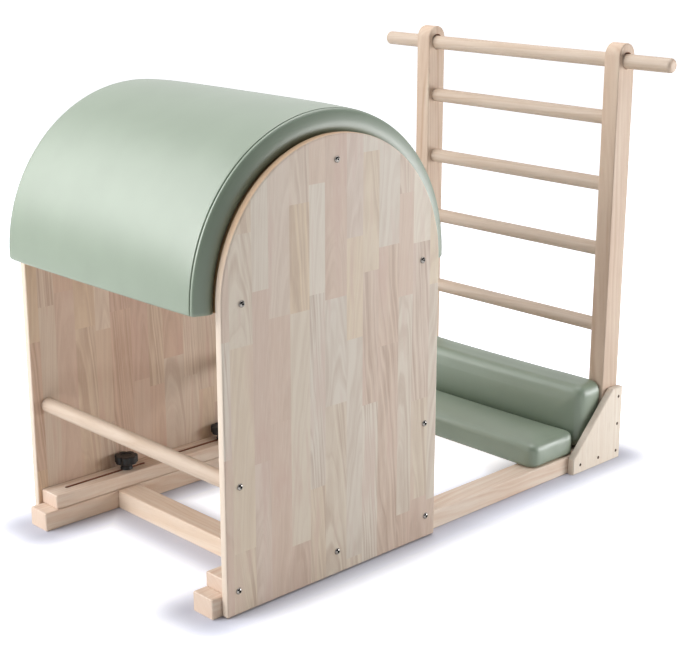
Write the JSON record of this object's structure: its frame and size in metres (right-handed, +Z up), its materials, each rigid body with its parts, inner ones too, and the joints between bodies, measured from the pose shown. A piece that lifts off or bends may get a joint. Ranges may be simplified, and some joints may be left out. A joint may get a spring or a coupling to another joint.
{
  "type": "pilates ladder barrel",
  "caption": "Pilates ladder barrel: a padded half-round arch between two wooden panels slides on a timber base that carries a rung ladder, a flat seat pad and a back pad.",
  "frame": {"origin": "middle of the overall box, on the floor under the base rails", "axes": "+X along the base from the barrel to the ladder, +Y to the left of someone who faces the ladder, +Z up"},
  "size_m": [1.314, 0.897, 1.021],
  "materials": {
    "timber": "clear matt lacquer on pale solid hardwood",
    "panel_wood": "edge-glued pale hardwood staves, matt lacquer",
    "dowel": "turned pale hardwood, matt lacquer",
    "plywood": "bare birch plywood",
    "vinyl": "sage green upholstery vinyl, fine grain, satin",
    "black_plastic": "moulded black nylon",
    "steel": "bright zinc-plated steel"
  },
  "bodies": {
    "base": {"base_rail_right": "timber", "base_rail_left": "timber", "front_cross_beam": "timber", "rear_cross_beam": "timber", "ladder_upright_right": "timber", "ladder_upright_left": "timber", "ladder_rung_1": "dowel", "ladder_rung_2": "dowel", "ladder_rung_3": "dowel", "ladder_rung_4": "dowel", "top_bar": "dowel", "gusset_plate_right": "timber", "gusset_plate_left": "timber", "seat_board": "plywood", "seat_pad": "vinyl", "back_board": "plywood", "back_pad": "vinyl"},
    "barrel": {"side_panel_right": "panel_wood", "side_panel_left": "panel_wood", "barrel_shell": "plywood", "barrel_cushion": "vinyl", "spreader_front": "timber", "spreader_top": "timber", "spreader_rear": "timber", "foot_bar_front": "dowel", "foot_bar_rear": "dowel", "slotted_runner_right": "timber", "slotted_runner_left": "timber", "bolt_runner_1_right": "steel", "bolt_runner_1_left": "steel", "bolt_runner_2_right": "steel", "bolt_runner_2_left": "steel", "bolt_runner_3_right": "steel", "bolt_runner_3_left": "steel", "bolt_foot_bar_1_right": "steel", "bolt_foot_bar_1_left": "steel", "bolt_foot_bar_2_right": "steel", "bolt_foot_bar_2_left": "steel", "bolt_spreader_1_right": "steel", "bolt_spreader_1_left": "steel", "bolt_spreader_2_right": "steel", "bolt_spreader_2_left": "steel", "bolt_spreader_3_right": "steel", "bolt_spreader_3_left": "steel"},
    "clamp_stud_front_right": {"clamp_stud_front_right": "steel"},
    "star_knob_front_right": {"star_knob_front_right": "black_plastic"},
    "clamp_stud_front_left": {"clamp_stud_front_left": "steel"},
    "star_knob_front_left": {"star_knob_front_left": "black_plastic"},
    "clamp_stud_rear_right": {"clamp_stud_rear_right": "steel"},
    "star_knob_rear_right": {"star_knob_rear_right": "black_plastic"},
    "clamp_stud_rear_left": {"clamp_stud_rear_left": "steel"},
    "star_knob_rear_left": {"star_knob_rear_left": "black_plastic"}
  },
  "joints": [
    {"name": "barrel_slide", "type": "slide", "parent": "base", "child": "barrel", "axis": [1, 0, 0], "range_m": [-0.046, 0.165]},
    {"name": "stud_lift_front_right", "type": "slide", "parent": "base", "child": "clamp_stud_front_right", "axis": [0, 0, 1], "range_m": [0, 0.00187]},
    {"name": "knob_turn_front_right", "type": "hinge", "parent": "clamp_stud_front_right", "child": "star_knob_front_right", "pos_m": [-0.389, -0.2912, 0.0756], "axis": [0, 0, 1], "range_deg": [0, 540]},
    {"name": "stud_lift_front_left", "type": "slide", "parent": "base", "child": "clamp_stud_front_left", "axis": [0, 0, 1], "range_m": [0, 0.00187]},
    {"name": "knob_turn_front_left", "type": "hinge", "parent": "clamp_stud_front_left", "child": "star_knob_front_left", "pos_m": [-0.389, 0.2912, 0.0756], "axis": [0, 0, 1], "range_deg": [0, 540]},
    {"name": "stud_lift_rear_right", "type": "slide", "parent": "base", "child": "clamp_stud_rear_right", "axis": [0, 0, 1], "range_m": [0, 0.00187]},
    {"name": "knob_turn_rear_right", "type": "hinge", "parent": "clamp_stud_rear_right", "child": "star_knob_rear_right", "pos_m": [-0.103, -0.2912, 0.0756], "axis": [0, 0, 1], "range_deg": [0, 540]},
    {"name": "stud_lift_rear_left", "type": "slide", "parent": "base", "child": "clamp_stud_rear_left", "axis": [0, 0, 1], "range_m": [0, 0.00187]},
    {"name": "knob_turn_rear_left", "type": "hinge", "parent": "clamp_stud_rear_left", "child": "star_knob_rear_left", "pos_m": [-0.103, 0.2912, 0.0756], "axis": [0, 0, 1], "range_deg": [0, 540]}
  ],
  "couplings": [
    {"joint": "knob_turn_front_right", "follows": "stud_lift_front_right", "rad_per_m": 5026.5},
    {"joint": "knob_turn_front_left", "follows": "stud_lift_front_left", "rad_per_m": 5026.5},
    {"joint": "knob_turn_rear_right", "follows": "stud_lift_rear_right", "rad_per_m": 5026.5},
    {"joint": "knob_turn_rear_left", "follows": "stud_lift_rear_left", "rad_per_m": 5026.5}
  ]
}
